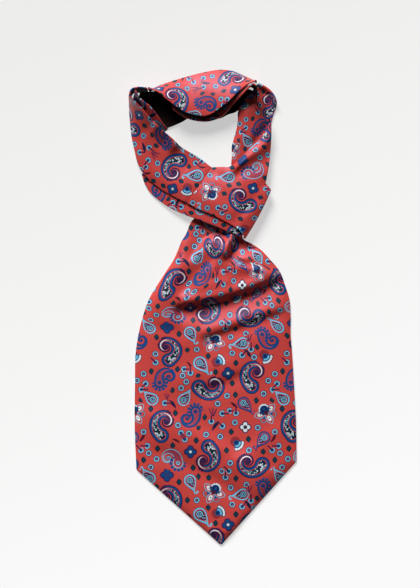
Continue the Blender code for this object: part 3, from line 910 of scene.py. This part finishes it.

# ------
# The right side of the neckband. The silk folded narrow, which comes down from the back of the
# neck under the crossing, and swells softly where it rounds the top right corner. Its inner
# face is the near-black cloth of painted shade.
NECKBAND_RIGHT = (
    (45, 214.6, 1.8, 40.5, 211, 4, 0.8),
    (50.9, 211.4, 1.7, 36.5, 205, 4, 2, 0.5),
    (57, 206.2, 1.7, 31.2, 199.7, 4.2, 4.6, 1),
    (61.2, 198.7, 1.7, 27.2, 194, 4.4, 5.8, 1),
    (61.2, 191.5, 1.7, 24.3, 186.7, 4.4, 5.6, 0.5),
    (58.4, 183.8, 1.7, 24.2, 179.5, 4.4, 4.6, 0.3),
    (55.7, 173.8, 1.7, 23.1, 171.4, 4.2, 4, 0.2),
    (51.8, 164.2, 2.2, 20.8, 162.7, 4, 3.4, 0.3),
    (47, 154.6, 2.6, 18.5, 154, 3.8, 2.4, 1.2),
    (45, 144, 2.8, 18.5, 144.5, 3.6, 1.8, 1.2),
    (44.2, 134.4, 2.8, 18, 135.6, 3.4, 1.6, 1.5),
    (42.7, 126.4, 2.8, 20.2, 127.3, 3.4, 1.4),
)


def band_points(rows, stations, cells, folds=()):
    """A stretch of band: smooth along its length, a parabola across, with its folds."""
    points = section_points(smooth_rows(rows, stations), np.linspace(0, 1, cells + 1))
    points[..., 2] += fold_heights(points, folds)
    return points


def laid(points, turn, on_repeat, at, shrink=1):
    """Where the print lies on a stretch of cloth, in the repeat's own plane.

    The spot on_repeat of the repeat comes to the spot at of the table, turned by so many
    degrees and drawn together by shrink. Each section is first rolled out flat about its
    middle, so that the print isn't smeared down a steep side.
    """
    steps = np.linalg.norm(np.diff(points, axis=1), axis=-1)
    run = np.concatenate((np.zeros((len(points), 1)), np.cumsum(steps, axis=1)), axis=1)
    chord = points[:, -1, :2] - points[:, 0, :2]
    heading = chord / lengths(chord)
    plan = points[..., :2]
    middle = 0.5 * (plan[:, 0] + plan[:, -1])
    level_run = np.einsum("rci,ri->rc", plan - middle[:, None], heading)
    excess = run - run[:, -1:] / 2 - level_run
    offset = plan + heading[:, None] * excess[..., None] - np.array(at)
    return to_motif(offset, 0, 0, turn, shrink) + np.array(on_repeat)


# The near-black of painted shade, for the sheet in the loop, the strip under the back's inner
# edge and the bands' inner faces.
PAINTED_SHADE_BROWN = (0.01, 0.005, 0.003)


def dark_lining():
    """Near-black cloth with a faint slub, for painted shade."""
    material, _, shader, dye = satin("dark_lining", PAINTED_SHADE_BROWN, (0.7, 1.4), roughness=0.9,
                                     sheen=0, gloss=0.15, relief=0.3)
    set_inputs(shader, {"Base Color": dye})
    return material


PAINTED_SHADE_CLOTH = dark_lining()


def printed_band(node, points, print_lies, flat):
    """A printed stretch of folded band, its inner face the near-black cloth of painted shade,
    standing for its node.
    print_lies is how the print is laid on it: turn, on_repeat, at and shrink."""
    cloth_at = laid(points, *print_lies)
    # The underside takes the near-black cloth: painted shade.
    piece = shell("silk_" + node, points, WALL, cloth_at, SILK, PAINTED_SHADE_CLOTH)
    stands_for(piece, node, "printed_silk", flat=flat, held="folded")


RIGHT_FOLDS = (
    (44, 213, 61, 196, 4, 5.5, 4),
    (42, 208, 55, 187, 3, -7, 6.5),
    (52, 174, 39, 157, 0, -2.2, 4),
    (57, 168, 46, 150, 0, 1.2, 4),
    (43, 147, 22, 131, 0, -1.6, 4.5),
    (33, 186, 24.5, 158, 0, 1, 5),
)
right = band_points(NECKBAND_RIGHT, 74, 30, RIGHT_FOLDS)
right[..., 2] = np.maximum(right[..., 2], EDGE_Z)
printed_band("neckband_right", right, (-12.5, (7, 91), (33, 169), 0.82), (0.034, 0.09))

# ------
# The crossing. The left end of the folded silk laid over the right end, with a rolled upper
# edge, a trough below it and a corner that stands out on its right fold. Its under ply
# shows as a strip below its lower edge.
CROSSING = (
    (-24.2, 99.3, 8.5, -0.2, 133.8, 6.5, 2.3),
    (-14, 94, 10, 7.7, 134.2, 7, 2.8, -0.2),
    (-1.4, 88.8, 11.6, 16.4, 134.4, 7.8, 2.4, 0.5),
    (10, 83, 12.5, 25, 141, 9.6, 1.3, -0.2),
    (19.7, 77.8, 12.7, 36.8, 152.6, 9.6, 1, -1.7),
    (26.4, 73, 12.2, 45.4, 160.7, 9, 0.8, -4),
    (29.8, 68.2, 10.8, 51.8, 170, 8.6, 0.7, -6.5),
    (31.1, 65, 7.8, 56, 181, 7.8, 0, -8),
    (30.6, 65.4, 5.4, 54.8, 178.2, 6.4, -1, -7.5),
)
CROSSING_PLY = (
    (-27.9, 88.6, 5.5, -23.6, 101.9, 6.3, 0.2, 0.1),
    (-15, 84, 7, -9, 98, 8, 0.4, 0.1),
    (-2.4, 79.3, 8.8, 2.4, 92.6, 9.6, 0.4, 0.1),
    (11, 73.7, 9.8, 15, 87, 10.6, 0.5, 0.1),
    (22.6, 68.2, 9.2, 24.5, 79.5, 9.9, 0.4, 0.2),
    (28.4, 65.3, 7, 27.6, 74, 8.4, 0.2, 0.1),
)
ROLL_AT, ROLL_WIDTH, ROLL_HEIGHT = 0.89, 0.07, 2.3
TROUGH_AT, TROUGH_WIDTH, TROUGH_DEPTH = 0.72, 0.1, 1.8
ROLL_FROM_X, ROLL_FULL_X = 2, 12
ROLL_NONE_Z, ROLL_FULL_Z = 4, 10
CORNER_AT, CORNER_END, CORNER_OUT = 0.42, 0.475, 7
CORNER_FROM_X, CORNER_FULL_X = 24.5, 31.1


def crossing_points(stations, cells):
    """The crossing, with the roll and trough along its upper edge and its right corner."""
    across = np.linspace(0, 1, cells + 1)
    rows = smooth_rows(CROSSING, stations)
    points = section_points(rows, across)
    begins = ramp(rows[:, FOOT_X], ROLL_FROM_X, ROLL_FULL_X)
    ends = ramp(rows[:, FOOT_Z], ROLL_NONE_Z, ROLL_FULL_Z)
    roll = ROLL_HEIGHT * bell(across - ROLL_AT, ROLL_WIDTH)
    trough = TROUGH_DEPTH * bell(across - TROUGH_AT, TROUGH_WIDTH)
    points[..., 2] += (begins * ends)[:, None] * (roll - trough)
    corner = np.interp(across, (0, CORNER_AT, CORNER_END, 1), (0, 1, 0, 0))
    stands_out = CORNER_OUT * ramp(rows[:, FOOT_X], CORNER_FROM_X, CORNER_FULL_X) ** 2
    points[..., 0] += stands_out[:, None] * corner
    return points


CROSSING_FOLDS = (
    (-20, 112, 14, 92, 0, 1, 9),
    (2, 128, 22, 118, 0, -0.9, 5),
    (20, 82, 48, 118, -3, -0.8, 6),
    (30, 84, 44, 96, 0, 0.8, 4),
)
over = crossing_points(84, 80)
over[..., 2] += fold_heights(over, CROSSING_FOLDS)
printed_band("crossing", over, (-115, (67, 134.5), (-1.4, 111.9), 0.92), (0.085, 0.06))
printed_band("crossing_ply", band_points(CROSSING_PLY, 50, 12),
             (-109, (15, 140), (-20, 90), 0.9), (0.06, 0.016))

# ------
# The left side of the neckband. Three plies of the folded silk: the broad outer one, flat
# at the crossing and stood on its edge at the far corner; a second that shows inside the
# loop; and a third that shows as a strip outside the lower edge.
NECKBAND_LEFT = (
    (-20.5, 97.6, 6.3, 3.2, 132, 4.4, 2.2),
    (-24.5, 99.5, 8, -0.5, 133.8, 6, 2.3),
    (-39, 106.5, 6.8, -10, 141, 6.5, 1.8, 2),
    (-54, 116, 5, -20.5, 147.5, 7.5, 1, 4),
    (-64, 125, 4.2, -30, 153, 8.5, 0.6, 5.5),
    (-71, 135.5, 3.6, -38, 160.5, 10, 0.7, 5),
    (-75, 150, 2.6, -48, 168.5, 13, 0.8, 3.5),
    (-78, 164, 2, -58, 178, 18, 0.8, 2),
    (-79.5, 178.5, 1.6, -67.5, 188.5, 21.5, 0.6, 1.3),
    (-80.3, 191, 0.8, -75, 195.5, 23.5, -0.3, 1.3),
    (-79.8, 200.5, 0.6, -79.3, 201.5, 24.5, 0, 0.6),
    (-76.7, 205.8, 0.6, -77.5, 207, 24, -0.5),
    (-70, 206.8, 0.6, -71.7, 209.4, 21.5, -0.5),
    (-61.5, 207.3, 0.6, -61.9, 209, 19.5),
)
LEFT_INNER_PLY = (
    (-53.3, 162.2, 7.9, -42.2, 170, 8.5, 0, -0.3),
    (-59.5, 168.5, 5.5, -46.4, 174, 13.5, 1.6, 0.7),
    (-66.2, 177, 3.2, -52.6, 182.2, 18.5, 3.2, 1.4),
    (-71.5, 186.7, 3, -59.5, 190.3, 22.5, 3.6, 1.3),
    (-74.6, 193.4, 2.6, -68.4, 197, 25, 2.6, 1.4),
    (-75.2, 198.5, 2.4, -72.4, 202.2, 26.5, 1.2, 1.2),
    (-73.4, 202, 2.2, -73.6, 205.6, 26.5, -0.6, 0.7),
)
LEFT_OUTER_PLY = (
    (-68, 127.7, 1.7, -64.8, 129.3, 1.7),
    (-65, 118, 1.7, -57, 124, 2),
    (-60.5, 110.4, 1.8, -50.4, 119, 2.8, 0.1, 0.2),
    (-49.6, 100.8, 2.6, -41.3, 113.3, 4.4, 0.1, 0.1),
    (-38.4, 93.6, 4, -30.7, 107, 5.6, 0.1),
    (-26.8, 88.3, 5.6, -22.5, 101.5, 6.4, 0.2, 0.1),
)
LEFT_FOLDS = (
    (-35, 157, -52, 172, 0, 3.5, 14, 5),
    (-75, 190, -50, 158, -3, -1.2, 5.5),
    (-72, 150, -32, 116, -5, 1, 8),
    (-48, 154, -26, 134, 0, -0.9, 4.5),
    (-60, 119, -34, 101, 0, -0.9, 4.5),
)
left = band_points(NECKBAND_LEFT, 130, 34, LEFT_FOLDS)
printed_band("neckband_left", left, (-131, (63, 86), (-38, 138), 0.93), (0.04, 0.135))
printed_band("neckband_left_inner_ply", band_points(LEFT_INNER_PLY, 40, 16),
             (-105, (19, 52), (-72, 201)), (0.022, 0.05))
printed_band("neckband_left_outer_ply", band_points(LEFT_OUTER_PLY, 48, 12),
             (120, (121, 138), (-54, 107), 0.9), (0.014, 0.06))

# ------
# The back of the neckband. Two plies of the folded silk: one from the table, where its outer
# edge lies, up to its inner edge at the neck, and one that shows below that edge and arches
# down at the right.
NECKBAND_BACK = (
    (-60.9, 207.3, 0.6, -61.3, 209, 19.5),
    (-55.2, 211, 1.2, -52.8, 206.1, 21, 1),
    (-46.6, 214.4, 1.6, -42.7, 197.8, 20.5, 3, 1),
    (-35, 218.2, 1.8, -29.3, 187.2, 18, 4, 1.7),
    (-21.6, 222, 1.8, -15.8, 183, 15, 3.7, 0.5),
    (-8.2, 225.3, 1.8, -5.3, 182.5, 14, 3.8, 0.6),
    (5.3, 227.7, 1.8, 4.8, 188, 15, 3.6),
    (18.7, 226.8, 1.8, 15.8, 196.5, 18, 4),
    (29.3, 222.5, 1.8, 26.4, 206.9, 20.5, 2.9, -0.5),
    (37.4, 218.7, 1.4, 35.6, 213.8, 21.5, 1.1, -0.4),
    (42.9, 216, 0.8, 41.7, 215.8, 21.5, 0.3),
)
BACK_PLY = (
    (-40.8, 203.5, 4.8, -37, 188.4, 16, 1.2),
    (-30.2, 202.6, 4.8, -24.5, 180.5, 12, 1.1),
    (-18.7, 200.6, 4.8, -13, 177.6, 9.5, 0.5),
    (-6.2, 200.6, 4.8, -2.4, 177.8, 9, 0.5),
    (5.3, 203.5, 4.8, 9, 182.1, 10.5, 0.8),
    (15.8, 207.4, 4.8, 18.7, 193, 14, 1.3),
    (26, 211.7, 4.8, 27.7, 202.6, 19, 0.3),
    (32.7, 212.2, 4.5, 33.9, 208.8, 23, 0.2),
    (38.4, 211.4, 4.5, 38.5, 212.5, 25.5),
    (41.8, 207.8, 6, 42.7, 209.5, 25),
    (43.3, 201.1, 9.4, 44.2, 202.6, 22),
    (43, 194.4, 9.4, 43.7, 195.8, 18),
)
BACK_FOLDS = (
    (-54, 208, -27, 199, 0, -1, 6.5),
    (-14, 223, 12, 194, 0, 1, 10),
    (16, 222, 30, 207, 0, -0.8, 5),
)
back = band_points(NECKBAND_BACK, 90, 36, BACK_FOLDS)
printed_band("neckband_back", back, (114, (60.5, 20), (23.3, 216.9), 0.86), (0.04, 0.105))
printed_band("neckband_back_ply", band_points(BACK_PLY, 88, 16),
             (107.6, (90, 60), (-9, 199)), (0.023, 0.11))

# ------
# The shade in the loop, painted. A near-black sheet lies low in the loop where the table is in
# shade, as painted shade, and a near-black strip runs along the inner edge of the band's back as
# painted shadow under that edge.
NECKBAND_SHADE_SHEET = (
    (-53.3, 171.8, 1.9, -44.2, 171.3, 1.9),
    (-62, 181.4, 1.9, -40.3, 172.8, 1.9),
    (-68, 193, 3, -36, 174.5, 1.9, -0.5),
    (-70.5, 200.5, 8, -31.7, 176.4, 1.9, -1.5),
    (-68.5, 204.4, 14, -28.3, 178, 1.9, -3),
    (-62.5, 205.6, 10, -24.5, 180.5, 1.9, -2.5),
    (-52, 207, 5, -19.7, 182.4, 1.9, -0.5),
    (-38, 207.5, 3, -12, 183.4, 1.9),
    (-12, 205.6, 1.9, -2.4, 183.4, 1.9),
    (9, 205.5, 1.9, 7.2, 181, 1.9),
    (22.6, 208.3, 1.9, 15.8, 185, 1.9),
    (30.2, 209.3, 1.9, 22, 187, 1.9),
    (36, 208.8, 1.9, 29.3, 193, 1.9),
    (38.9, 207.4, 1.9, 35, 200.6, 1.9),
)
# The strip of painted shadow under the back's inner edge.
SHADE_STRIP_WIDTH, SHADE_STRIP_DROP, SHADE_STRIP_FALL, SHADE_STRIP_WALL = 2.7, 0.7, 0.45, 0.5
SHADE_STRIP_FADE, SHADE_STRIP_LEAST = 0.1, 0.1


def shade_strip_points(band, cells):
    """A strip that leaves the band's inner edge, level at first and falling further out: painted
    shadow under that edge.
    """
    edge, inward = band[:, -1], band[:, -1] - band[:, -4]
    inward[:, 2] = 0
    inward /= lengths(inward)
    along = np.linspace(0, 1, len(edge))
    from_end = np.minimum(along, 1 - along)
    width = SHADE_STRIP_WIDTH * np.clip(from_end / SHADE_STRIP_FADE, SHADE_STRIP_LEAST, 1)
    reach = width[:, None] * np.linspace(0, 1, cells + 1)
    points = edge[:, None] + inward[:, None] * reach[..., None]
    points[..., 2] -= SHADE_STRIP_DROP + SHADE_STRIP_FALL * reach
    return points


# Painted shade: a near-black sheet laid in the loop.
shade_sheet = band_points(NECKBAND_SHADE_SHEET, 90, 24)
shade_sheet_piece = shell("painted_shade_sheet", shade_sheet, WALL, shade_sheet[..., :2], [PAINTED_SHADE_CLOTH])
stands_for(shade_sheet_piece, "neckband_lining", "dark_lining", flat=(0.03, 0.11), held="folded")
# Painted shadow: a near-black strip under the back's inner edge.
strip = shade_strip_points(back, cells=6)
shade_strip = shell("painted_shade_strip", strip, SHADE_STRIP_WALL, strip[..., :2], [PAINTED_SHADE_CLOTH])
both = bmesh.new()
both.from_mesh(shade_sheet_piece.data)
both.from_mesh(shade_strip.data)
both.to_mesh(shade_sheet_piece.data)
both.free()
bpy.data.meshes.remove(shade_strip.data)

# ------
# The table and the light. A plain pale top that glows a little of itself, a soft window
# beyond the neck loop and to the left, a faint ceiling, and an even white room.
TABLE_REACH = 2
TABLE_GLOW = 0.53
TABLE_NEAR, TABLE_FAR = (0.52, 0.52, 0.52), (0.38, 0.375, 0.36)
# Painted light: the table top is lighter towards the pointed end and the right.
FADE_LENGTH, FADE_ACROSS, FADE_MIDDLE = 0.56, 0.6, 0.42
ROOM_COLOUR, ROOM_STRENGTH = (0.98, 0.98, 1, 1), 0.045
# Columns: name, strength, spread in degrees, the point that it shines from.
LAMPS = (
    ("window_light", 4.35, 26, (-0.38, 1.25, 0.85)),
    ("ceiling_light", 0.03, 80, (0.05, 0.1, 2)),
)

corners = np.array(((-1, -1, 0), (1, -1, 0), (1, 1, 0), (-1, 1, 0))) * TABLE_REACH
table_mesh = bpy.data.meshes.new("table_top")
table_mesh.from_pydata(corners.tolist(), [], [(0, 1, 2, 3)])
table = add_object("table_top", table_mesh)


def pale_paper():
    """Matt paper that glows a little of itself, with painted light: a little lighter towards the
    pointed end and the right.
    """
    material, tree, shader = new_material("pale_paper")
    place = add_node(tree, "TexCoord", {})
    split = add_node(tree, "SeparateXYZ", {0: place.outputs["Object"]})
    across, along = Field(tree, split.outputs[0]), Field(tree, split.outputs[1])
    share = (along / FADE_LENGTH - across * FADE_ACROSS + FADE_MIDDLE).clamp()
    # The paper's colour with painted light, lighter towards the pointed end and the right.
    paper = blend(tree, share, TABLE_NEAR, TABLE_FAR)
    set_inputs(shader, {
        "Base Color": paper,
        "Roughness": 0.9,
        "Emission Color": (1, 1, 1, 1),
        "Emission Strength": TABLE_GLOW,
    })
    return material


table_mesh.materials.append(pale_paper())

room = bpy.data.worlds.new("room")
room.use_nodes = True
walls = room.node_tree.nodes["Background"]
set_inputs(walls, {"Color": ROOM_COLOUR, "Strength": ROOM_STRENGTH})
bpy.context.scene.world = room

for name, strength, spread, place in LAMPS:
    light = bpy.data.lights.new(name, "SUN")
    light.energy = strength
    light.angle = np.radians(spread)
    lamp = add_object(name, light)
    lamp.location = place
    lamp.rotation_euler = lamp.location.to_track_quat("Z", "Y").to_euler()

# ------
# The camera, which looks straight down on the cravat.
FRAME_HEIGHT = 0.5645
CAMERA_AT = (-0.0024, 0.0125, 2)
SENSOR = 36
lens = bpy.data.cameras.new("camera")
lens.sensor_width = SENSOR
lens.lens = SENSOR * CAMERA_AT[2] / FRAME_HEIGHT
lens.clip_end = 20
camera = add_object("camera", lens)
camera.location = CAMERA_AT
bpy.context.scene.camera = camera
bpy.context.scene.view_settings.view_transform = "Standard"
